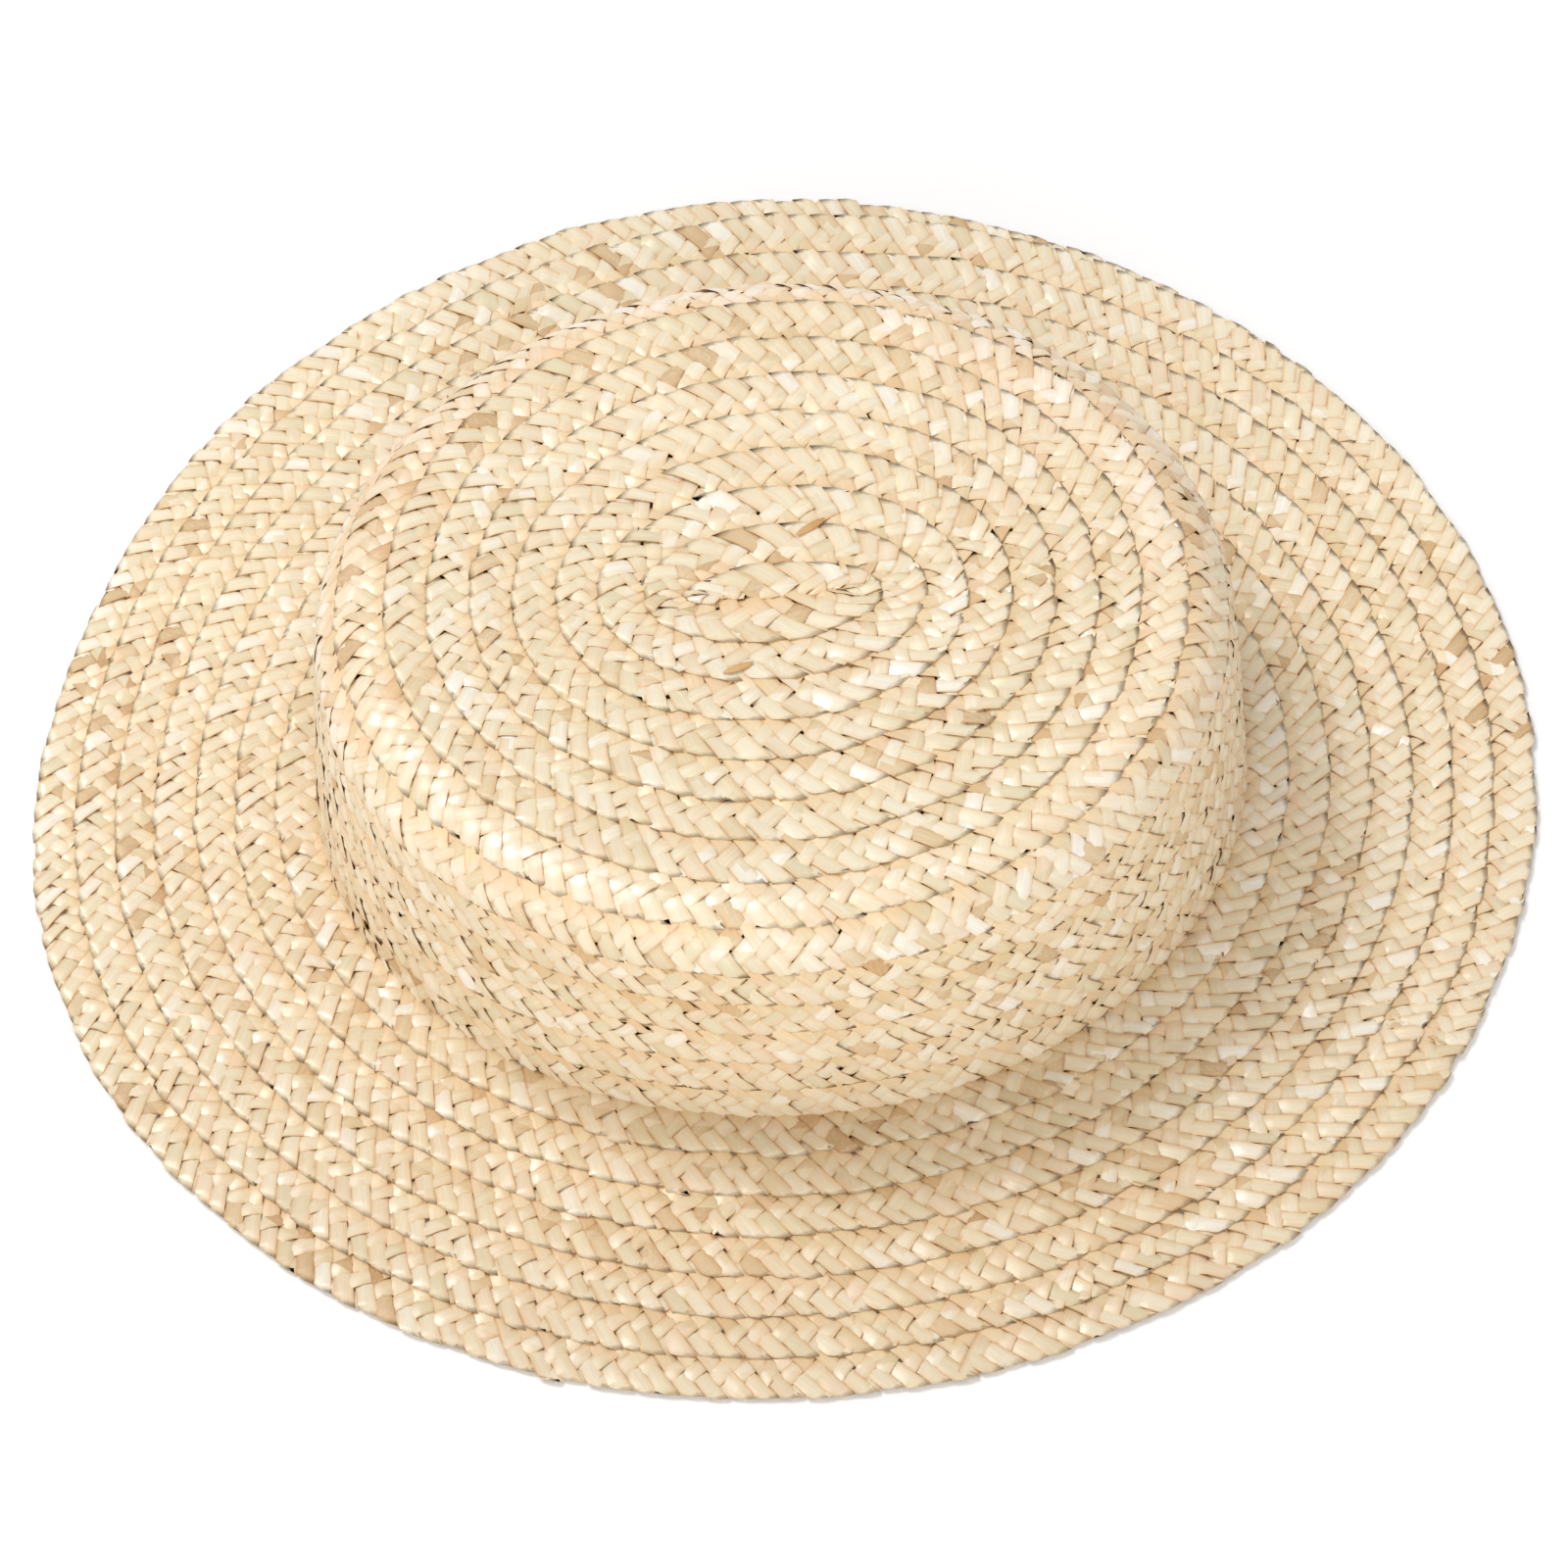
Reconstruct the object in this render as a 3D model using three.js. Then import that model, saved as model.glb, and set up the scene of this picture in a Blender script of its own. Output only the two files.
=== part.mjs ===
// A flat-topped straw hat with a wide level brim, sewn from rows of straw plait.
//
// Lengths are millimetres and +Z is up. The origin is on the surface the brim rests on,
// in the middle of the brim's outline. +X runs along the oval's length, which goes front to back
// on a head, and -Y is the near side. Turns are degrees from +X by way of the near side.
import * as THREE from 'three';
import { ParametricGeometry } from 'three/addons/geometries/ParametricGeometry.js';
import { mergeVertices } from 'three/addons/utils/BufferGeometryUtils.js';

// Every level of the hat is an oval. Its half width is the value called across, and its
// half length is that much again plus the value called stretch.
const tip = { across: 75.5, middleStretch: 13.7, stretch: 5.9, rows: 6.65, rowStep: 0.9 };
const foot = { across: 86.5, stretch: 12.6 };
const rim = { across: 154.3, stretch: 5.8 };
const wall = { rows: 4.7, rowStep: 0.4 };
const brimRows = { count: 7, rowStep: 0.9 };

const crownHeight = 64;
const shoulderRadius = 12;
const shoulderSteps = 6;
const coreAcross = 9.9;
const pieceGap = 0.3;
const brimThickness = 1.3;
const tipThickness = 1.3;
const sideThickness = 1.3;
const edgeLift = 0.4;

// The side reaches in under the edge of the tip, as one row of plait is lapped by the next.
const lapUnderTip = 3.2;
const lapThickness = 1.2;

// The brim's rows keep their place round the near side. Beyond the crown, between these
// turns, they step out by one row.
const stepOut = { from: 215, to: 325 };

// Where the sewn brim wanders from a true oval: the turn, its spread and how far out.
const rimSwells = [
  { place: 'near side', turn: 84, spread: 26, out: -1.4 },
  { place: 'near left', turn: 154, spread: 20, out: 0.9 },
  { place: 'far left', turn: 200, spread: 20, out: -3.2 },
  { place: 'far side', turn: 270, spread: 26, out: 4.2 },
];

// The brim swells out at the back, so the crown stands this much nearer than its middle.
const crownNearer = 2.8;

const roundSteps = 64;
const mergeWithin = 1e-4;
const fullTurn = 360;

const tipTop = brimThickness + crownHeight;
const sideFoot = brimThickness + pieceGap;
const shoulderRun = shoulderRadius * Math.PI / 2;
const wallDrop = tipTop - shoulderRadius - sideFoot;
const wallLean = foot.across - tip.across - shoulderRadius;
const wallRun = Math.hypot(wallDrop, wallLean);
const sideRun = shoulderRun + wallRun;
const brimRowWidth = (rim.across - foot.across) / brimRows.count;

// The crown's outer face, followed down from the middle of the tip by the length run.
// out and lift are the parts of the face's outward direction.
function crownFace(run) {
  const past = run - tip.across;
  if (past <= 0) {
    const stretch = THREE.MathUtils.lerp(tip.middleStretch, tip.stretch, run / tip.across);
    return { across: run, up: tipTop, stretch, out: 0, lift: 1 };
  }
  const stretch = THREE.MathUtils.lerp(tip.stretch, foot.stretch, past / sideRun);
  if (past <= shoulderRun) {
    const bend = past / shoulderRadius;
    const out = Math.sin(bend);
    const lift = Math.cos(bend);
    const across = tip.across + shoulderRadius * out;
    const up = tipTop - shoulderRadius * (1 - lift);
    return { across, up, stretch, out, lift };
  }
  const down = (past - shoulderRun) / wallRun;
  const across = tip.across + shoulderRadius + wallLean * down;
  const up = tipTop - shoulderRadius - wallDrop * down;
  return { across, up, stretch, out: wallDrop / wallRun, lift: wallLean / wallRun };
}

// A point of the crown, standing off its outer face by height.
function onCrown(run, height) {
  const face = crownFace(run);
  return {
    across: face.across + face.out * height,
    up: face.up + face.lift * height,
    stretch: face.stretch,
  };
}

// A point of the brim, a number of rows out from the foot of the crown.
function onBrim(row, up) {
  const brimShare = row / brimRows.count;
  const stretch = THREE.MathUtils.lerp(foot.stretch, rim.stretch, brimShare);
  return { across: foot.across + row * brimRowWidth, up, stretch, brimShare };
}

// How far the brim's edge swells or falls in at this turn.
function rimSwell(turn) {
  return rimSwells.reduce((sum, swell) => {
    const away = Math.abs(turn - swell.turn);
    const nearest = Math.min(away, fullTurn - away) / swell.spread;
    return sum + swell.out * Math.exp(-nearest * nearest);
  }, 0);
}

// Puts one point of a section into its place at this turn round the hat.
function place(point, turn, target) {
  const angle = THREE.MathUtils.degToRad(turn);
  const swell = rimSwell(turn) * Math.max(point.brimShare ?? 0, 0) ** 2;
  const across = point.across + swell;
  const x = (across + point.stretch) * Math.cos(angle);
  const y = -across * Math.sin(angle) - crownNearer;
  target.set(x, y, point.up);
}

// The rows along one face at one turn. Each row rises to its outer edge, then drops to
// the next row that comes from under it. advance is how far the spiral has moved out.
function rowPoints({ from, to, advance, step, startHeight, endHeight }) {
  const points = [{ row: from, height: startHeight }];
  for (let row = Math.floor(from); row < to; row += 1) {
    const edge = row + advance;
    if (edge <= from) {
      points.push({ row: from, height: startHeight }, { row: from, height: startHeight });
    } else if (edge >= to) {
      points.push({ row: to, height: endHeight }, { row: to, height: endHeight });
    } else {
      points.push({ row: edge, height: step }, { row: edge, height: 0 });
    }
  }
  points.push({ row: to, height: endHeight });
  return points;
}

// One closed solid from the sections at each turn. A section is a list of points, drawn
// from its last point back so that the faces look outwards.
function solidFrom(sectionAt) {
  const sections = [];
  for (let step = 0; step <= roundSteps; step += 1) {
    sections.push(sectionAt(step / roundSteps));
  }
  const spans = sections[0].length - 1;
  const draw = (u, v, target) => {
    const section = sections[Math.round(v * roundSteps)];
    const turn = v === 1 ? 0 : v * fullTurn;
    place(section[Math.round((1 - u) * spans)], turn, target);
  };
  const geometry = new ParametricGeometry(draw, spans, roundSteps);
  geometry.deleteAttribute('uv');
  geometry.deleteAttribute('normal');
  return withoutSlivers(mergeVertices(geometry, mergeWithin));
}

// Leaves out the triangles that came to nothing where a row starts or runs out.
function withoutSlivers(geometry) {
  const corners = geometry.index.array;
  const kept = [];
  for (let i = 0; i < corners.length; i += 3) {
    const [a, b, c] = corners.slice(i, i + 3);
    if (a !== b && b !== c && c !== a) {
      kept.push(a, b, c);
    }
  }
  geometry.setIndex(kept);
  geometry.computeVertexNormals();
  return geometry;
}

// The flat top of the crown: rows that wind out from a folded start in the middle.
function tipSection(share) {
  const rowRun = (tip.across - coreAcross) / tip.rows;
  const rows = rowPoints({
    from: 0,
    to: tip.rows,
    advance: share,
    step: tip.rowStep,
    startHeight: edgeLift,
    endHeight: edgeLift,
  });
  return [
    onCrown(0, edgeLift),
    ...rows.map(({ row, height }) => onCrown(coreAcross + row * rowRun, height)),
    onCrown(tip.across, -tipThickness),
    onCrown(0, -tipThickness),
  ];
}

// The points round the shoulder, whose height goes evenly from one value to another.
function shoulderPoints(startHeight, endHeight) {
  const points = [];
  for (let step = 1; step <= shoulderSteps; step += 1) {
    const part = step / shoulderSteps;
    const height = THREE.MathUtils.lerp(startHeight, endHeight, part);
    points.push(onCrown(tip.across + shoulderRun * part, height));
  }
  return points;
}

// The shoulder and wall of the crown, with the lap that reaches in under the tip. The
// shoulder is one broad row, and the rows of the wall wind down from it.
function sideSection(share) {
  const lapTop = -tipThickness - pieceGap;
  const lapUnder = lapTop - lapThickness;
  const wallTop = tip.across + shoulderRun;
  const rowRun = wallRun / wall.rows;
  const rows = rowPoints({
    from: 0,
    to: wall.rows,
    advance: share,
    step: wall.rowStep,
    startHeight: 0,
    endHeight: 0,
  });
  return [
    onCrown(tip.across - lapUnderTip, lapTop),
    onCrown(tip.across + pieceGap, lapTop),
    ...shoulderPoints(lapTop, wall.rowStep),
    ...rows.map(({ row, height }) => onCrown(wallTop + row * rowRun, height)),
    onCrown(wallTop + wallRun, -sideThickness),
    ...shoulderPoints(lapUnder, -sideThickness).reverse(),
    onCrown(tip.across, lapUnder),
    onCrown(tip.across - lapUnderTip, lapUnder),
    onCrown(tip.across - lapUnderTip, lapTop),
  ];
}

// The level brim. Its inner edge is flush with the inside of the wall that stands on it.
function brimSection(share) {
  const innerRow = -sideThickness / brimRowWidth;
  const standRow = 2 * pieceGap / brimRowWidth;
  const advance = THREE.MathUtils.smoothstep(share * fullTurn, stepOut.from, stepOut.to);
  const rows = rowPoints({
    from: standRow,
    to: brimRows.count,
    advance,
    step: brimRows.rowStep,
    startHeight: 0,
    endHeight: edgeLift,
  });
  return [
    onBrim(innerRow, brimThickness),
    ...rows.map(({ row, height }) => onBrim(row, brimThickness + height)),
    onBrim(brimRows.count, 0),
    onBrim(innerRow, 0),
    onBrim(innerRow, brimThickness),
  ];
}

function strawPiece(name, sectionAt, colour, roughness) {
  const straw = new THREE.MeshStandardMaterial({ color: colour, roughness, metalness: 0 });
  const piece = new THREE.Mesh(solidFrom(sectionAt), straw);
  piece.name = name;
  return piece;
}

const strawHat = new THREE.Group();
strawHat.name = 'straw_boater';
strawHat.add(
  strawPiece('crown_tip', tipSection, 0xe8d3a9, 0.5),
  strawPiece('crown_side', sideSection, 0xe3cba0, 0.52),
  strawPiece('brim', brimSection, 0xe6d0a5, 0.5),
);

export default strawHat;
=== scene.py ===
# %% [markdown]
# # A flat-topped straw hat, sewn from rows of straw plait
#
# Everything on this hat is one material worked in one way: split straws are plaited
# into a flat strip about as wide as a finger, and the strip is sewn to itself round and
# round. It starts in the middle of the tip, winds out to the tip's edge, turns down the
# side of the crown and then runs out over the brim. Each row laps over the next one, so
# every row shows a raised outer edge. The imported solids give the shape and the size.
# This script plaits real straws over them.

# %% Frame and tools
import math

import bpy
import numpy as np
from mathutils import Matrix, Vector


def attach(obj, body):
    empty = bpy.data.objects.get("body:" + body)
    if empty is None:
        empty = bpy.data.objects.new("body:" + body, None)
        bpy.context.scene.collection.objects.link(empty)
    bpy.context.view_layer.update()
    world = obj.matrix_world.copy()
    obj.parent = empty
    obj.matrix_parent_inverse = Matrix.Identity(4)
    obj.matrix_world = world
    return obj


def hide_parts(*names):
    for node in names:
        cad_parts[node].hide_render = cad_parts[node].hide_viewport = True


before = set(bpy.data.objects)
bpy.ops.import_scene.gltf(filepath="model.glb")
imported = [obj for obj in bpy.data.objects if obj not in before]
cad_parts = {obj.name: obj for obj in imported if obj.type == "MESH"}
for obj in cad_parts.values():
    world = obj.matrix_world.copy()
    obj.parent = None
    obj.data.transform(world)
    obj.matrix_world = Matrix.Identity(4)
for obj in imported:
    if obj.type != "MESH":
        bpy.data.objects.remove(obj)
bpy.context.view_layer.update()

MM = 0.001
chance = np.random.default_rng(1)
print("nodes carried over:", sorted(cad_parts))

# %% [markdown]
# ## The camera
#
# The photograph looks down on the hat from well above. A camera can be placed by eye,
# but here it was worked out. The ovals of the rim and of the rows fit several cameras.
# Only one of them also gives the plait the same stitch length on all four sides and
# shows the wall's rows at their real spacing. The far lens keeps the rows from tapering,
# and the small shift puts the hat as low in the frame as it is in the photograph. The
# brim swells out at the back, so the crown stands a little nearer than the brim's middle.

# %% Camera
PHOTO_WIDTH = 1600
FOCAL_PIXELS = 6706
CAMERA_DISTANCE = 1402 * MM
CAMERA_HEIGHT_ANGLE = math.radians(55.0)
CAMERA_SIDE_ANGLE = math.radians(0.46)
CAMERA_ROLL = math.radians(-2.72)
SENSOR_WIDTH = 36.0
HAT_CENTRE_PIXEL = (797.5, 790.0)
CROWN_NEARER = 2.8


def add_camera():
    """The photograph's camera, looking down at the middle of the crown's foot."""
    level = CAMERA_DISTANCE * math.cos(CAMERA_HEIGHT_ANGLE)
    crown_middle = Vector((0, -CROWN_NEARER * MM, 0))
    away = Vector((
        -level * math.sin(CAMERA_SIDE_ANGLE),
        -level * math.cos(CAMERA_SIDE_ANGLE),
        CAMERA_DISTANCE * math.sin(CAMERA_HEIGHT_ANGLE),
    ))
    data = bpy.data.cameras.new("photo_camera")
    data.sensor_width = SENSOR_WIDTH
    data.lens = FOCAL_PIXELS / PHOTO_WIDTH * SENSOR_WIDTH
    data.shift_x = (PHOTO_WIDTH / 2 - HAT_CENTRE_PIXEL[0]) / PHOTO_WIDTH
    data.shift_y = (HAT_CENTRE_PIXEL[1] - PHOTO_WIDTH / 2) / PHOTO_WIDTH
    data.clip_start = 0.01
    camera = bpy.data.objects.new("photo_camera", data)
    camera.location = crown_middle + away
    camera.rotation_euler = (-away).to_track_quat("-Z", "Y").to_euler()
    camera.rotation_euler.rotate_axis("Z", CAMERA_ROLL)
    bpy.context.scene.collection.objects.link(camera)
    bpy.context.scene.camera = camera
    return camera


camera = add_camera()
print("lens", round(camera.data.lens, 1), "mm")

# %% [markdown]
# ## The hat's sizes
#
# Lengths are in millimetres until a mesh is made. Every level of the hat is an oval: its
# half width is called across, and its half length is that much and a stretch more. Turns
# go round the hat from its right-hand end by way of the near side. A run is how far a
# point lies from the middle of the tip, measured out over the tip and down the side.
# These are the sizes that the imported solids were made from.

# %% Sizes
TIP_ACROSS = 75.5
MIDDLE_STRETCH = 13.7
TIP_STRETCH = 5.9
FOOT_ACROSS = 86.5
FOOT_STRETCH = 12.6
RIM_ACROSS = 154.3
RIM_STRETCH = 5.8
TIP_TOP = 65.3
BRIM_TOP = 1.3
WALL_THICKNESS = 1.3
SHOULDER_RADIUS = 12.0
SIDE_FOOT = 1.6
BRIM_ROWS = 7
LOWEST = 0.1
FULL_TURN = 360

SHOULDER_RUN = SHOULDER_RADIUS * math.pi / 2
WALL_DROP = TIP_TOP - SHOULDER_RADIUS - SIDE_FOOT
WALL_LEAN = FOOT_ACROSS - TIP_ACROSS - SHOULDER_RADIUS
WALL_RUN = math.hypot(WALL_DROP, WALL_LEAN)
SIDE_RUN = SHOULDER_RUN + WALL_RUN
FOOT_RUN = TIP_ACROSS + SIDE_RUN
BRIM_ROW_WIDTH = (RIM_ACROSS - FOOT_ACROSS) / BRIM_ROWS

# Where the sewn brim wanders from a true oval: turn, spread in degrees, and how far out.
RIM_SWELLS = (
    {"turn": 84, "spread": 26, "out": -1.4},
    {"turn": 154, "spread": 20, "out": 0.9},
    {"turn": 200, "spread": 20, "out": -3.2},
    {"turn": 270, "spread": 26, "out": 4.2},
)


def on_oval(turn, across, stretch, up):
    """Points of an oval, as x, y, z columns. Turns are counted in whole turns."""
    angle = 2 * math.pi * turn
    x = (across + stretch) * np.cos(angle)
    y = -across * np.sin(angle) - CROWN_NEARER
    return np.stack((x, y, up), axis=-1)


def on_crown(turn, run, height):
    """Points standing off the crown's outer face by a height."""
    past = run - TIP_ACROSS
    bend = np.clip(past / SHOULDER_RADIUS, 0.0, math.pi / 2)
    down = np.maximum(past - SHOULDER_RUN, 0.0) / WALL_RUN
    across = np.minimum(run, TIP_ACROSS) + SHOULDER_RADIUS * np.sin(bend) + WALL_LEAN * down
    up = TIP_TOP - SHOULDER_RADIUS * (1 - np.cos(bend)) - WALL_DROP * down
    places = (0.0, TIP_ACROSS, FOOT_RUN)
    stretch = np.interp(run, places, (MIDDLE_STRETCH, TIP_STRETCH, FOOT_STRETCH))
    return on_oval(turn, across + np.sin(bend) * height, stretch, up + np.cos(bend) * height)


def rim_swell(turn):
    """How far the brim's edge swells or falls in at these turns."""
    total = np.zeros_like(turn)
    for swell in RIM_SWELLS:
        away = np.abs(turn % 1 * FULL_TURN - swell["turn"])
        nearest = np.minimum(away, FULL_TURN - away) / swell["spread"]
        total += swell["out"] * np.exp(-nearest * nearest)
    return total


def on_brim(turn, row, height):
    """Points standing over the brim's face, a number of rows out from the crown.

    Those that would come below LOWEST are pressed flat there."""
    share = row / BRIM_ROWS
    across = FOOT_ACROSS + row * BRIM_ROW_WIDTH + rim_swell(turn) * np.maximum(share, 0.0) ** 2
    stretch = FOOT_STRETCH + (RIM_STRETCH - FOOT_STRETCH) * share
    return on_oval(turn, across, stretch, np.maximum(BRIM_TOP + height, LOWEST))


print("foot run", round(FOOT_RUN, 1), "mm, brim rows", round(BRIM_ROW_WIDTH, 2), "mm wide")

# %% [markdown]
# ## How the plait is made
#
# The strip is a flat plait of four straws. Each straw runs slantwise out to the edge,
# folds over, runs back to the other edge and folds again. On its way out it passes over,
# under and over the others, and on its way back under, over and under.
#
# A picture of a weave on a flat band would be quicker, but it shows as flat at the row
# edges and along the outline. So every straw is a ribbon of its own. The table follows
# one straw through half a cycle, in eighths: `at` is how far it has got, `skew` how
# much that line slants to lie along the straw that crosses there, `rise` is above or
# below the middle of the plait, and `face_out` and `face_up` are where its outer side
# looks, because each fold turns it over.

# %% Plait
PLAIT_WIDTH = 12.5
PITCH = 4.85
STRAWS = 4
STRAW_WIDTH = 0.97
STRAW_THICKNESS = 0.58
CROSSING_RISE = 0.20
EIGHTHS = 8
LINES_PER_TURN = 90

# A new straw takes over after so many crossings. The shift, a share of that, keeps the
# four from being renewed at the same place.
STRAW_LENGTH = 20.0
SPLICE_SHIFT = 0.37

HALF_CYCLE = (
    {"at": 0.00, "skew": 0.0, "rise": 0.0, "face_out": -1.0, "face_up": 0.0},
    {"at": 0.30, "skew": 0.6, "rise": 0.9, "face_out": -0.4, "face_up": 0.9},
    {"at": 0.65, "skew": 1.0, "rise": 1.0, "face_out": 0.0, "face_up": 1.0},
    {"at": 1.35, "skew": 1.0, "rise": 1.0, "face_out": 0.0, "face_up": 1.0},
    {"at": 1.70, "skew": 1.0, "rise": -1.0, "face_out": 0.0, "face_up": 1.0},
    {"at": 2.30, "skew": 1.0, "rise": -1.0, "face_out": 0.0, "face_up": 1.0},
    {"at": 2.65, "skew": 1.0, "rise": 1.0, "face_out": 0.0, "face_up": 1.0},
    {"at": 3.35, "skew": 1.0, "rise": 1.0, "face_out": 0.0, "face_up": 1.0},
    {"at": 3.70, "skew": 0.6, "rise": 0.9, "face_out": 0.4, "face_up": 0.9},
)

# How unevenly the straws lie: widths and places as shares, lean and rise in millimetres.
WIDTH_CHANCE = 0.07
ALONG_CHANCE = 0.09
OUT_CHANCE = 0.05
LEAN_CHANCE = 0.20
RISE_CHANCE = 0.07

# The section of a straw: how far to each side, and which way it bulges.
SIDE = np.array([-1.0, 0.0, 1.0, 0.0])
FACE = np.array([0.0, 1.0, 0.0, -1.0])
BULGE = FACE * STRAW_THICKNESS / 2


def cycle_columns():
    """The whole cycle: out on the top, then back with rise and facing turned over."""
    columns = {}
    for name in HALF_CYCLE[0]:
        out = np.array([line[name] for line in HALF_CYCLE])
        columns[name] = np.concatenate((out, out))
    half = len(HALF_CYCLE)
    columns["at"][half:] += EIGHTHS / 2
    for name in ("rise", "face_out", "face_up"):
        columns[name][half:] *= -1
    return columns


CYCLE = cycle_columns()
print("one cycle of a straw has", len(CYCLE["at"]), "lines")


def slow_chance(count, spacing=len(HALF_CYCLE)):
    """Random values for the lines of a straw that change little from line to line."""
    knots = chance.standard_normal(count // spacing + 3)
    return np.interp(np.arange(count) / spacing, np.arange(len(knots)), knots)[:, None]


def straw_ribbon(start, cycles):
    """One straw of a straight plait, as lines of four points round its section.

    Returns how far along each point is in pitches, how far out from 0 to 1, its height
    in millimetres, how many crossings the straw has passed, and how far the point faces
    down, from 0 to 1."""
    column = {name: np.tile(values, cycles)[:, None] for name, values in CYCLE.items()}
    cycle = np.repeat(np.arange(cycles), len(CYCLE["at"]))[:, None]
    count = len(cycle)
    half_width = STRAW_WIDTH / 2 * (1 + WIDTH_CHANCE * slow_chance(count))
    reached = column["at"] - column["skew"] * SIDE * half_width
    along = start + STRAWS * cycle + reached / 2 + SIDE * half_width
    along = along + ALONG_CHANCE * slow_chance(count)
    out = 1 - np.abs(reached % EIGHTHS - EIGHTHS / 2) / (EIGHTHS / 2)
    out = 0.5 + (out - 0.5) * (1 + OUT_CHANCE * slow_chance(count))
    out = out + BULGE * column["face_out"] / PLAIT_WIDTH
    cell = ((EIGHTHS * cycle + column["at"]) / 2).astype(int)
    lean = LEAN_CHANCE * chance.standard_normal(cell.max() + 1)[cell] * SIDE
    rise = RISE_CHANCE * chance.standard_normal(cell.max() + 1)[cell]
    height = column["rise"] * CROSSING_RISE + (BULGE + lean) * column["face_up"] + rise
    passed = (EIGHTHS * cycle + reached) / 2
    facing_down = (1 - FACE * column["face_up"]) / 2
    return along, out, height, passed, facing_down


def plait_strip(begin, end, row_length, place):
    """Plaits four straws from one turn to another and bends them round the hat.

    place(turns, out, height) gives the points in millimetres, which of them are kept
    and how far they lie under the next row, where shade is painted into the colour.
    The straws that move outwards move back along the strip, as in the photograph."""
    grid = np.linspace(begin, end, int((end - begin) * LINES_PER_TURN) + 2)
    middle = (grid[1:] + grid[:-1]) / 2
    so_far = np.concatenate(([0.0], np.cumsum(np.diff(grid) * row_length(middle)))) / PITCH
    cycles = int(so_far[-1] / STRAWS) + 2
    parts = []
    offset = 0
    for straw in range(STRAWS):
        along, out, height, passed, facing_down = straw_ribbon(straw - STRAWS, cycles)
        back = so_far[-1] - along
        turns = np.interp(back, so_far, grid)
        points, kept, tucked = place(turns, out, height)
        inside = (back > 0) & (back < so_far[-1])
        use = kept.any(axis=1) & inside.any(axis=1)
        number = np.floor(passed / STRAW_LENGTH + straw * SPLICE_SHIFT) * STRAWS + straw
        across = np.broadcast_to(SIDE, along.shape)
        # Where a straw faces down or lies under the next row, for the painted shade.
        painted_shade = np.maximum(tucked, facing_down)
        parts.append({
            "points": points.reshape(-1, 3),
            "faces": ribbon_faces(along.shape, use, offset),
            "marks": np.stack((number, passed, across, painted_shade), axis=-1).reshape(-1, 4),
            "turns": turns.reshape(-1),
        })
        offset += along.size
    return {key: np.concatenate([part[key] for part in parts]) for key in parts[0]}


def ribbon_faces(shape, use, offset):
    """Four-sided faces round a ribbon, between each two lines that are both in use."""
    index = offset + np.arange(shape[0] * shape[1]).reshape(shape)
    here, ahead = index[:-1], index[1:]
    faces = np.stack((ahead, np.roll(ahead, -1, 1), np.roll(here, -1, 1), here), axis=-1)
    return faces[use[:-1] & use[1:]].reshape(-1, 4)


def joined(strips):
    """Several strips as one set of points and faces."""
    total = {key: np.concatenate([strip[key] for strip in strips]) for key in strips[0]}
    starts = np.cumsum([0] + [len(strip["points"]) for strip in strips[:-1]])
    shifted = [strip["faces"] + start for strip, start in zip(strips, starts)]
    total["faces"] = np.concatenate(shifted)
    return total


def between_turns(strip, begin, end):
    """The faces of a strip that lie between two turns, with the points of the whole."""
    turn = strip["turns"][strip["faces"]].mean(axis=1)
    faces = strip["faces"][(turn >= begin) & (turn < end)]
    return {**strip, "faces": faces}


MARKS = ("straw_number", "straw_along", "straw_across", "straw_painted_shade")


def add_piece(name, strip):
    """Makes a named mesh object, with the straws' edges sharp and their marks kept."""
    used, faces = np.unique(strip["faces"], return_inverse=True)
    faces = faces.reshape(-1, 4)
    points, marks = strip["points"][used], strip["marks"][used]
    mesh = bpy.data.meshes.new(name)
    mesh.from_pydata((points * MM).tolist(), [], faces.tolist())
    for column, label in enumerate(MARKS):
        layer = mesh.attributes.new(label, "FLOAT", "POINT")
        layer.data.foreach_set("value", marks[:, column].astype(np.float32))
    mesh.polygons.foreach_set("use_smooth", np.ones(len(faces), dtype=bool))
    ends = np.empty(len(mesh.edges) * 2, dtype=np.int32)
    mesh.edges.foreach_get("vertices", ends)
    on_side = np.abs(marks[:, MARKS.index("straw_across")]) > 0.5
    sharp = mesh.attributes.new("sharp_edge", "BOOLEAN", "EDGE")
    sharp.data.foreach_set("value", on_side[ends.reshape(-1, 2)].all(axis=1))
    mesh.update()
    piece = bpy.data.objects.new(name, mesh)
    bpy.context.scene.collection.objects.link(piece)
    print(name, "has", 2 * len(faces), "triangles")
    return piece


# %% [markdown]
# ## The crown
#
# On the crown the outer edge of the plait moves out by one row each turn, all the way
# from the middle of the tip to the foot of the wall. The plait is wider than the row
# that shows: the rest is tucked under the row before it. Round the wall the rows are
# drawn so far apart that they lie nearly flush.
#
# The whole crown is plaited as one strip, so that the weave runs on over the shoulder.
# Then its faces are shared out between the tip and the side.

# %% Crown plait
FIRST_EDGE = 9.9
TIP_ROW = 9.87
WALL_ROW = 11.0
WALL_FROM_TURN = 7.0
CROWN_BEGIN = -0.62
CROWN_END = 14.35
TIP_SHARE_END = 6.8
MIDDLE_OVERLAP = 1.5
FOOT_OVERLAP = 0.8
ROW_STEP = 0.62
WALL_STEP = 0.3
PLAIT_MIDDLE = 0.45
TUCK_DROP = 1.3
TUCK_FROM = 0.62

# The turns over which the rows widen and their step shrinks, from the tip to the wall.
ROW_WIDENS = (6.0, 7.5)
STEP_SHRINKS = (6.2, 7.6)

# Only for the length of a row: its least half width, and its stretch at the foot.
LEAST_ACROSS = 3.0
WALL_STRETCH = 9.0


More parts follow.
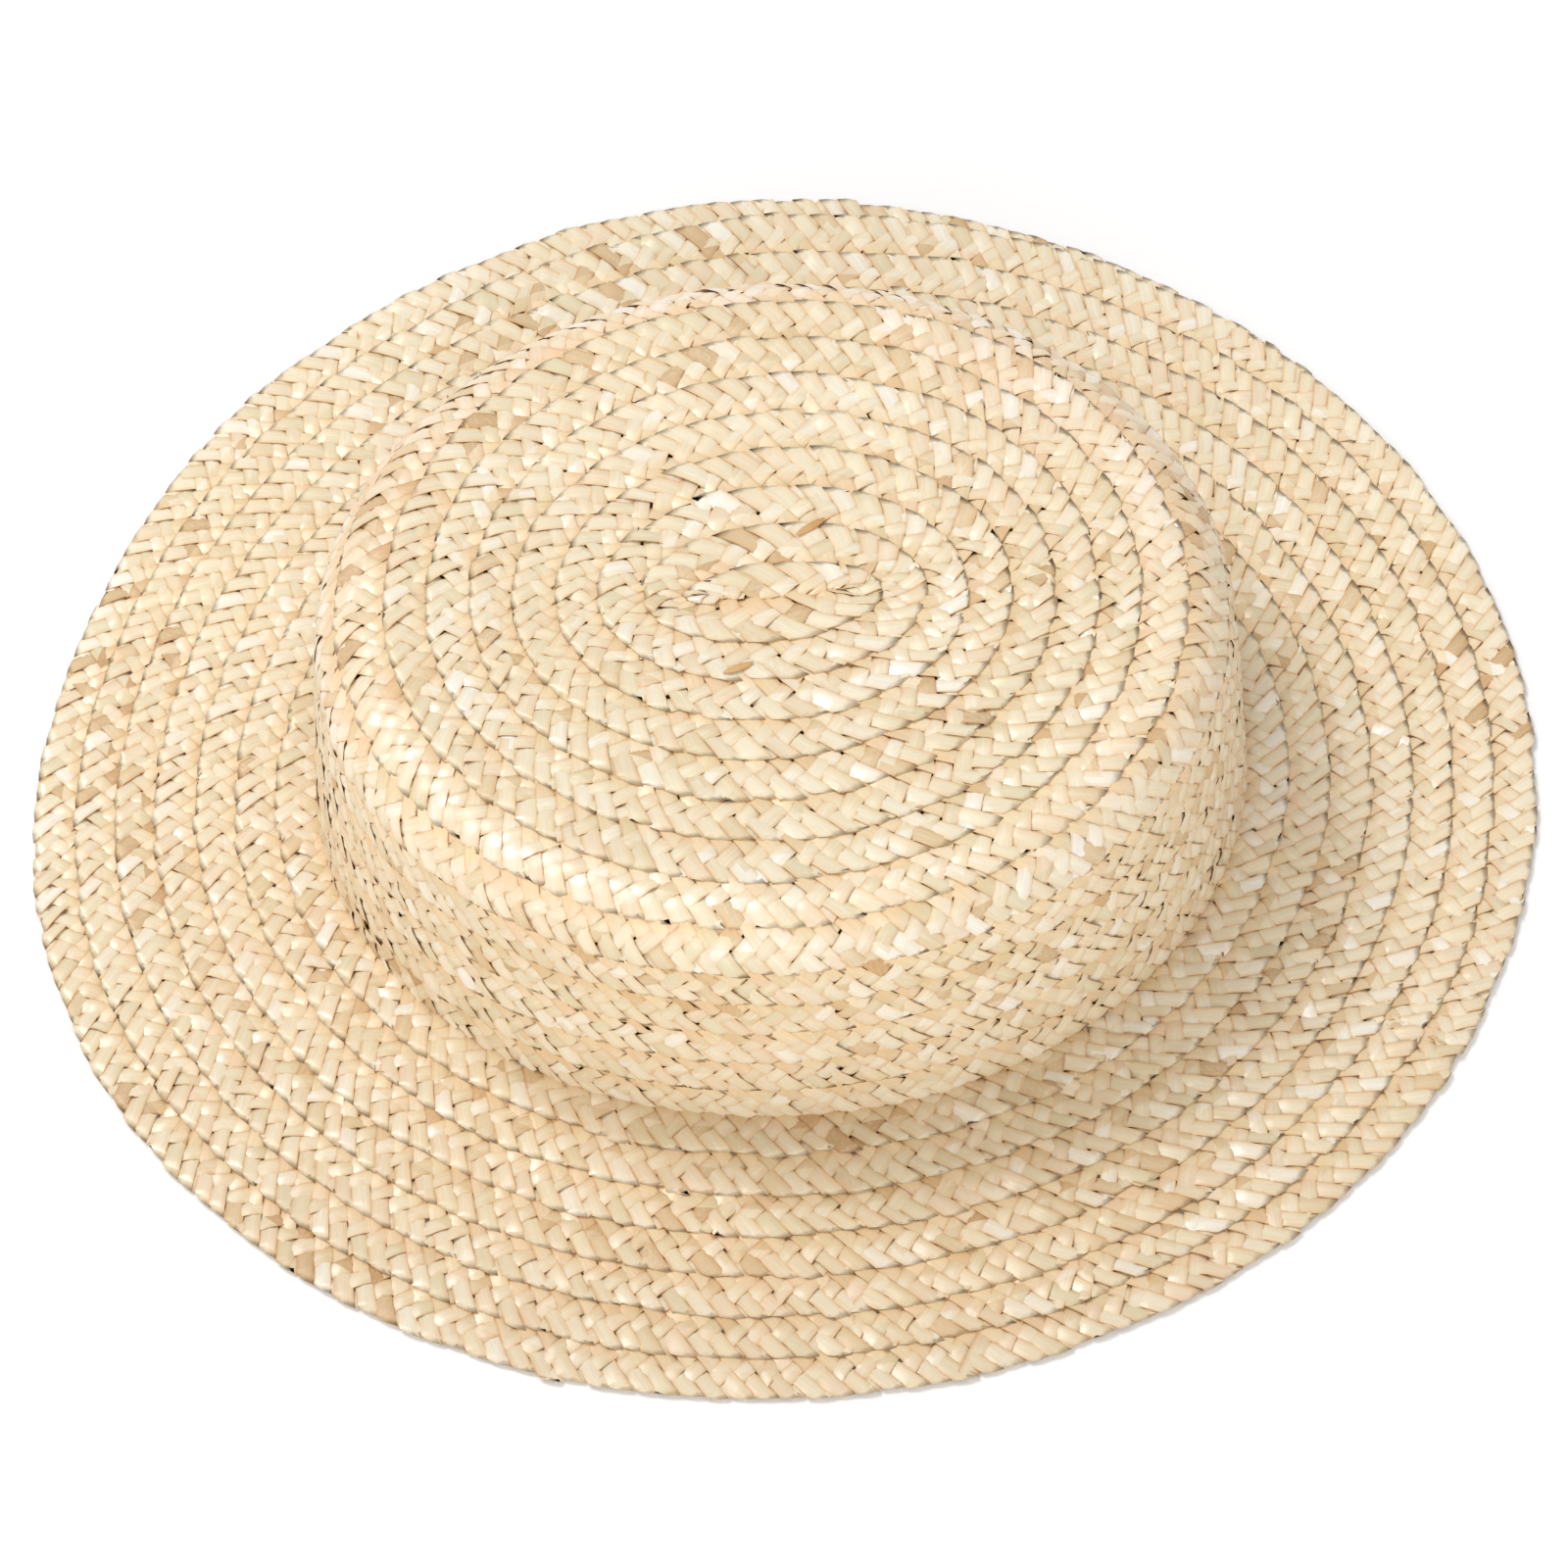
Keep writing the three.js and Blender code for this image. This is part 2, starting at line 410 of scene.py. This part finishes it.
def crown_edge(turns):
    """The run of the plait's outer edge."""
    on_wall = np.maximum(turns - WALL_FROM_TURN, 0.0)
    return FIRST_EDGE + TIP_ROW * np.minimum(turns, WALL_FROM_TURN) + WALL_ROW * on_wall


def lap(behind, step):
    """Height of the plait's middle, where behind is rows in from its outer edge."""
    tucked = np.maximum(behind - 1.0, 0.0) * TUCK_DROP * (1 - step / ROW_STEP)
    return step * (1 - behind) - PLAIT_MIDDLE - tucked


def lap_shade_share(behind):
    """From 0 to 1 over the part of a row that lies close under the row before it, where shade is
    painted into the colour.
    """
    return np.clip((behind - TUCK_FROM) / (1 - TUCK_FROM), 0.0, 1.0)


def row_length(across, stretch):
    """About how long one row is, once round the hat."""
    return 2 * math.pi * np.sqrt(((across + stretch) ** 2 + across ** 2) / 2)


def crown_row_length(turns):
    """How long the row is at these turns, so that the stitches are evenly spaced."""
    across = np.clip(crown_edge(turns) - PLAIT_WIDTH / 2, LEAST_ACROSS, FOOT_ACROSS)
    places = (0, TIP_ACROSS, FOOT_ACROSS)
    stretch = np.interp(across, places, (MIDDLE_STRETCH, TIP_STRETCH, WALL_STRETCH))
    return row_length(across, stretch)


def on_crown_plait(turns, out, height):
    """Bends points of the straight plait round the crown, for plait_strip."""
    behind = (1 - out) * PLAIT_WIDTH
    run = crown_edge(turns) - behind
    row = np.interp(turns, ROW_WIDENS, (TIP_ROW, WALL_ROW))
    step = np.interp(turns, STEP_SHRINKS, (ROW_STEP, WALL_STEP))
    kept = (run < FOOT_RUN + FOOT_OVERLAP) & (run > -MIDDLE_OVERLAP)
    run = np.clip(run, -MIDDLE_OVERLAP, FOOT_RUN + FOOT_OVERLAP)
    points = on_crown(turns, run, lap(behind / row, step) + height)
    return points, kept, lap_shade_share(behind / row)


crown_strip = plait_strip(CROWN_BEGIN, CROWN_END, crown_row_length, on_crown_plait)
tip_plait = add_piece("tip_plait", between_turns(crown_strip, CROWN_BEGIN - 1, TIP_SHARE_END))
side_plait = add_piece("side_plait", between_turns(crown_strip, TIP_SHARE_END, CROWN_END + 1))

# %% [markdown]
# ## Loose chips
#
# Here and there the flat end of a spliced straw stands out of the plait as a small brown
# chip. Each is a pointed leaf of two faces across, with its middle line raised.

# %% Loose chips
CHIPS = (
    {"x": 8.5, "y": 15.7, "length": 7.2, "width": 1.8, "turned": 33},
    {"x": -7.9, "y": -19.2, "length": 6.6, "width": 1.6, "turned": 20},
)
CHIP_HEIGHT = 0.75
CHIP_STEPS = 6
CHIP_BLUNTNESS = 0.02


def chip_strip(x, y, length, width, turned):
    """One chip, pointed at both ends, lying on the tip."""
    along = np.linspace(-0.5, 0.5, CHIP_STEPS + 1)[:, None]
    half_width = width / 2 * np.sqrt(np.maximum(1 - (2 * along) ** 2, CHIP_BLUNTNESS))
    angle = math.radians(turned)
    east = along * length * math.cos(angle) - SIDE * half_width * math.sin(angle)
    north = along * length * math.sin(angle) + SIDE * half_width * math.cos(angle)
    up = np.broadcast_to(TIP_TOP + CHIP_HEIGHT + BULGE, east.shape)
    points = np.stack((x + east, y + north - CROWN_NEARER, up), axis=-1)
    marks = np.stack(np.broadcast_arrays(length, along, SIDE, 0.0), axis=-1)
    faces = ribbon_faces(up.shape, np.ones(len(up), dtype=bool), 0)
    return {
        "points": points.reshape(-1, 3),
        "faces": faces,
        "marks": marks.reshape(-1, 4),
        "turns": np.zeros(up.size),
    }


loose_chips = add_piece("loose_chips", joined([chip_strip(**chip) for chip in CHIPS]))

# %% [markdown]
# ## The brim
#
# The rows of the brim keep their place round the near side and step out by one row
# behind the crown. That is how the sewer kept the brim even in front. Near the right
# front the plait ran out, and the sewer went on with another length: there the two
# outermost rows show a line across them where the lengths lap.

# %% Brim plait
STEP_OUT = (215.0, 325.0)
BRIM_LENGTHS = (
    {"from": 0.60, "to": 6.089},
    {"from": 6.086, "to": 7.087},
    {"from": 7.084, "to": 7.90},
)
RIM_STEP = 0.3
RIM_STEP_FROM = BRIM_ROWS - 0.6


def brim_edge(turns):
    """How many rows out the plait's outer edge is."""
    begin, end = STEP_OUT
    part = np.clip((turns % 1 * FULL_TURN - begin) / (end - begin), 0.0, 1.0)
    return np.floor(turns) + part * part * (3 - 2 * part)


def brim_row_length(turns):
    """How long the row is at these turns, so that the stitches are evenly spaced."""
    across = FOOT_ACROSS + brim_edge(turns) * BRIM_ROW_WIDTH - PLAIT_WIDTH / 2
    return row_length(across, FOOT_STRETCH)


def on_brim_plait(turns, out, height):
    """Bends points of the straight plait round the brim, for plait_strip."""
    edge = brim_edge(turns)
    behind = (1 - out) * PLAIT_WIDTH / BRIM_ROW_WIDTH
    row = np.minimum(edge, BRIM_ROWS) - behind
    step = np.interp(edge, (RIM_STEP_FROM, BRIM_ROWS), (ROW_STEP, RIM_STEP))
    inner = -WALL_THICKNESS / BRIM_ROW_WIDTH
    kept = row > inner
    row = np.maximum(row, inner)
    points = on_brim(turns, row, lap(edge - row, step) + height)
    return points, kept, lap_shade_share(behind)


brim_strips = [
    plait_strip(length["from"], length["to"], brim_row_length, on_brim_plait)
    for length in BRIM_LENGTHS
]
brim_plait = add_piece("brim_plait", joined(brim_strips))

# %% [markdown]
# ## Straw
#
# Ripe straw is pale gold with a hard waxy skin. Splitting and sorting mixes straws from
# nearly white to tan, with a few greenish or brown ones. A split straw is finely
# streaked along its length, and its cut sides are darker, partly in their own colour and
# partly as painted shade in the slits between straws. The waxy face shines along the
# straw. Each time a straw comes up between two crossings it shows a slightly different
# side, so the tone also changes from one crossing to the next.
#
# All of that is one shared group of nodes. It reads the four marks that were stored with
# each point: the straw's number, how many crossings it has passed, how far across the
# straw the point is, and how far it faces down or lies under the next row, where a
# darker golden shade is painted into the colour.

# %% Straw finish
STRAW_TONES = (
    {"place": 0.00, "colour": (0.56, 0.36, 0.17), "straw": "brown"},
    {"place": 0.12, "colour": (0.77, 0.59, 0.37), "straw": "tan"},
    {"place": 0.24, "colour": (0.80, 0.72, 0.51), "straw": "greenish"},
    {"place": 0.37, "colour": (0.87, 0.71, 0.53), "straw": "pinkish"},
    {"place": 0.50, "colour": (0.88, 0.77, 0.56), "straw": "wheat"},
    {"place": 0.70, "colour": (0.91, 0.82, 0.65), "straw": "cream"},
    {"place": 0.95, "colour": (0.96, 0.93, 0.86), "straw": "bleached"},
)
OWN_SHARE = 0.55
# The cut-side colour darkens each straw towards its edges. Part of this is the cut sides' own
# darker colour, and part is painted shade in the slits between straws.
CUT_SIDE_AND_SLIT_SHADE = (0.84, 0.62, 0.40, 1.0)
# The golden colour is painted shade: a darker gold on faces that look down and where a row lies
# under the row before.
PAINTED_GOLDEN_SHADE = (1.0, 0.83, 0.64, 1.0)
CELL_SHIFT = 17.31
CELL_LENGTH = 7.8
STREAK_STRETCH = 0.05
STREAK_NOISE = {"Scale": 3.4, "Detail": 4.0, "Roughness": 0.7}
STREAK_SHADES = (0.78, 1.14)
STREAK_WAX = 0.4
EDGE_SHARPNESS = 6.0


def set_inputs(tree, node, inputs):
    """Sets or links a node's inputs from a table of socket and value."""
    for socket, value in dict(inputs).items():
        if isinstance(value, bpy.types.NodeSocket):
            tree.links.new(value, node.inputs[socket])
        else:
            node.inputs[socket].default_value = value


def add_node(tree, kind, inputs=(), **settings):
    """Adds a node with its settings, then its inputs."""
    node = tree.nodes.new(kind)
    for name, value in settings.items():
        setattr(node, name, value)
    set_inputs(tree, node, inputs)
    return node


def maths(tree, operation, *values):
    """The result of one arithmetic node."""
    return add_node(tree, "ShaderNodeMath", enumerate(values), operation=operation).outputs[0]


def mixed(tree, blend, amount, first, second):
    """Two colours blended, as a colour socket. The node has sockets of the same name for
    other kinds of value, so these are found by their identifiers."""
    node = add_node(tree, "ShaderNodeMix", data_type="RGBA", blend_type=blend)
    values = {"Factor_Float": amount, "A_Color": first, "B_Color": second}
    places = {socket.identifier: place for place, socket in enumerate(node.inputs)}
    set_inputs(tree, node, {places[name]: value for name, value in values.items()})
    return next(socket for socket in node.outputs if socket.identifier == "Result_Color")


def mark(tree, name):
    """One of the values that were stored with each point."""
    return add_node(tree, "ShaderNodeAttribute", attribute_name=name).outputs["Fac"]


def spread(tree, value, low, high, start=0.0, end=1.0):
    """A value that goes from low to high while the given one goes from start to end."""
    inputs = {"Value": value, "From Min": start, "From Max": end, "To Min": low, "To Max": high}
    return add_node(tree, "ShaderNodeMapRange", inputs).outputs["Result"]


def straw_streaks(tree, number, along, across):
    """Fine lines along each straw, as a value from 0 to 1."""
    length = maths(tree, "MULTIPLY", along, CELL_LENGTH * STREAK_STRETCH)
    place = add_node(tree, "ShaderNodeCombineXYZ", {"X": across, "Y": length, "Z": number})
    inputs = {"Vector": place.outputs["Vector"], **STREAK_NOISE}
    return add_node(tree, "ShaderNodeTexNoise", inputs).outputs["Fac"]


def straw_tone(tree, number, cell):
    """The straw's own colour, shifted a little at each crossing."""
    shift = add_node(tree, "ShaderNodeTexWhiteNoise", {"W": cell}, noise_dimensions="1D")
    own = add_node(tree, "ShaderNodeTexWhiteNoise", {"W": number}, noise_dimensions="1D")
    own_part = maths(tree, "MULTIPLY", own.outputs["Value"], OWN_SHARE)
    cell_part = maths(tree, "MULTIPLY", shift.outputs["Value"], 1 - OWN_SHARE)
    place = maths(tree, "ADD", own_part, cell_part)
    ramp = tree.nodes.new("ShaderNodeValToRGB")
    elements = ramp.color_ramp.elements
    for tone in STRAW_TONES[1:-1]:
        elements.new(tone["place"])
    for element, tone in zip(elements, STRAW_TONES):
        element.position = tone["place"]
        element.color = (*tone["colour"], 1.0)
    tree.links.new(place, ramp.inputs["Fac"])
    return ramp.outputs["Color"], shift.outputs["Value"]


def straw_group():
    """The shared look: colour with painted shade in the slits and under the laps, wax (how smooth
    the skin is) and fine relief.
    """
    tree = bpy.data.node_groups.new("straw_look", "ShaderNodeTree")
    tree.interface.new_socket("Edge", in_out="INPUT", socket_type="NodeSocketFloat")
    tree.interface.new_socket("Colour", in_out="OUTPUT", socket_type="NodeSocketColor")
    tree.interface.new_socket("Wax", in_out="OUTPUT", socket_type="NodeSocketFloat")
    tree.interface.new_socket("Relief", in_out="OUTPUT", socket_type="NodeSocketFloat")
    given = tree.nodes.new("NodeGroupInput")
    number, along, across = (mark(tree, "straw_" + n) for n in ("number", "along", "across"))
    whole = maths(tree, "FLOOR", along)
    cell = maths(tree, "ADD", whole, maths(tree, "MULTIPLY", number, CELL_SHIFT))
    streaks = straw_streaks(tree, number, along, across)
    tone, chance_of_cell = straw_tone(tree, number, cell)
    shade = spread(tree, streaks, *STREAK_SHADES)
    grey = add_node(tree, "ShaderNodeCombineColor", {"Red": shade, "Green": shade, "Blue": shade})
    streaked = mixed(tree, "MULTIPLY", 1.0, tone, grey.outputs["Color"])
    # Partly painted shade: the straw darkens towards its cut sides, where the slits between
    # straws lie in shade. The cut sides are also a little darker in their own colour.
    side = maths(tree, "POWER", maths(tree, "ABSOLUTE", across), EDGE_SHARPNESS)
    side = maths(tree, "MULTIPLY", side, given.outputs["Edge"])
    slit_shaded = mixed(tree, "MULTIPLY", side, streaked, CUT_SIDE_AND_SLIT_SHADE)
    # Painted shade: faces that look down and the parts of a row that lie under the row before are
    # tinted darker gold.
    colour = mixed(tree, "MULTIPLY", mark(tree, "straw_painted_shade"), slit_shaded, PAINTED_GOLDEN_SHADE)
    wax = maths(tree, "ADD", chance_of_cell, maths(tree, "MULTIPLY", streaks, STREAK_WAX))
    out = tree.nodes.new("NodeGroupOutput")
    tree.links.new(colour, out.inputs["Colour"])
    tree.links.new(wax, out.inputs["Wax"])
    tree.links.new(streaks, out.inputs["Relief"])
    return tree


STRAW_LOOK = straw_group()

# How each piece's straw differs. Near and far are colour washes at the near and far sides
# of the hat that paint in light and shade: each piece is made lighter or darker from the
# near side to the far side. Edge is how dark the straws' cut sides are, partly their own
# colour and partly painted shade in the slits between straws.
FINISHES = {
    "tip_straw": {"near": (0.91, 0.92, 0.90), "far": (0.93, 0.93, 0.91), "edge": 0.7},
    "side_straw": {"near": (0.97, 1.0, 1.0), "far": (0.96, 0.92, 0.90), "edge": 0.6},
    "brim_straw": {"near": (0.84, 0.82, 0.79), "far": (0.98, 1.0, 1.0), "edge": 0.8},
}
WASH_FROM = -150 * MM
WASH_TO = 60 * MM
ROUGHEST = 0.52
SMOOTHEST = 0.17
RELIEF_STRENGTH = 0.3
RELIEF_DEPTH = 0.12 * MM
CHIP_WASH = (0.80, 0.56, 0.30, 1.0)


def straw_material(name):
    """One piece's straw, from the shared group, its own wash of painted light and shade, and its
    skin.
    """
    finish = FINISHES[name]
    material = bpy.data.materials.new(name)
    material.use_nodes = True
    tree = material.node_tree
    shader = tree.nodes["Principled BSDF"]
    look = add_node(tree, "ShaderNodeGroup", node_tree=STRAW_LOOK)
    look.inputs["Edge"].default_value = finish["edge"]
    where = add_node(tree, "ShaderNodeTexCoord").outputs["Object"]
    parts = add_node(tree, "ShaderNodeSeparateXYZ", {"Vector": where})
    # Painted light and shade: the colour moves from the near wash to the far wash across the hat.
    share = spread(tree, parts.outputs["Y"], 0.0, 1.0, WASH_FROM, WASH_TO)
    painted_light_wash = mixed(tree, "MIX", share, (*finish["near"], 1.0), (*finish["far"], 1.0))
    colour = mixed(tree, "MULTIPLY", 1.0, look.outputs["Colour"], painted_light_wash)
    skin = spread(tree, look.outputs["Wax"], ROUGHEST, SMOOTHEST)
    relief = {"Strength": RELIEF_STRENGTH, "Distance": RELIEF_DEPTH}
    relief["Height"] = look.outputs["Relief"]
    bump = add_node(tree, "ShaderNodeBump", relief)
    tree.links.new(colour, shader.inputs["Base Color"])
    tree.links.new(skin, shader.inputs["Roughness"])
    tree.links.new(bump.outputs["Normal"], shader.inputs["Normal"])
    return material


def chip_material():
    """The browner straw of the chips, with the same streaks."""
    material = straw_material("tip_straw")
    material.name = "chip_straw"
    tree = material.node_tree
    shader = tree.nodes["Principled BSDF"]
    colour = shader.inputs["Base Color"].links[0].from_socket
    tree.links.new(mixed(tree, "MULTIPLY", 1.0, colour, CHIP_WASH), shader.inputs["Base Color"])
    return material


loose_chips.data.materials.append(chip_material())
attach(loose_chips, "root")

for piece, node, finish in (
    (tip_plait, "crown_tip", "tip_straw"),
    (side_plait, "crown_side", "side_straw"),
    (brim_plait, "brim", "brim_straw"),
):
    piece.data.materials.append(straw_material(finish))
    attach(piece, "root")
    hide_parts(node)
print("straw tones:", ", ".join(tone["straw"] for tone in STRAW_TONES))

# %% [markdown]
# ## Floor and light
#
# The hat was photographed on white with soft light from the upper left, so the right
# front of the wall and the brim behind it fall into a soft shade. A lamp high on the
# left gives the light its direction, a broader one in front lights the near wall, and a
# pale surround fills the rest.

# %% Floor and light
LAMPS = (
    {"name": "key_light", "place": (-0.7, 0.5, 1.5), "size": 0.6, "watts": 13.0},
    {"name": "front_light", "place": (-0.1, -1.5, 0.7), "size": 1.3, "watts": 10.5},
)
SURROUND_COLOUR = (1.0, 1.0, 1.0, 1.0)
SURROUND_STRENGTH = 0.68
FLOOR_SIZE = 3.0
FLOOR_COLOUR = (0.92, 0.92, 0.92, 1.0)
FLOOR_ROUGHNESS = 0.9


def add_floor():
    """The pale surface that the hat lies on."""
    mesh = bpy.data.meshes.new("floor")
    signs = ((-1, -1), (1, -1), (1, 1), (-1, 1))
    corners = [(x * FLOOR_SIZE, y * FLOOR_SIZE, 0) for x, y in signs]
    mesh.from_pydata(corners, [], [(0, 1, 2, 3)])
    floor = bpy.data.objects.new("floor", mesh)
    bpy.context.scene.collection.objects.link(floor)
    material = bpy.data.materials.new("pale_floor")
    material.use_nodes = True
    shader = material.node_tree.nodes["Principled BSDF"]
    shader.inputs["Base Color"].default_value = FLOOR_COLOUR
    shader.inputs["Roughness"].default_value = FLOOR_ROUGHNESS
    mesh.materials.append(material)


def add_lamp(name, place, size, watts):
    """A square lamp that points at the hat."""
    data = bpy.data.lights.new(name, "AREA")
    data.size = size
    data.energy = watts
    lamp = bpy.data.objects.new(name, data)
    lamp.location = place
    lamp.rotation_euler = (-Vector(place)).to_track_quat("-Z", "Y").to_euler()
    bpy.context.scene.collection.objects.link(lamp)


def add_surround():
    """The even light from all round."""
    world = bpy.data.worlds.new("studio")
    bpy.context.scene.world = world
    world.use_nodes = True
    background = world.node_tree.nodes["Background"]
    background.inputs["Color"].default_value = SURROUND_COLOUR
    background.inputs["Strength"].default_value = SURROUND_STRENGTH


add_floor()
for lamp in LAMPS:
    add_lamp(**lamp)
add_surround()
print("lamps:", ", ".join(lamp["name"] for lamp in LAMPS))
bpy.context.scene.view_settings.view_transform = "Standard"
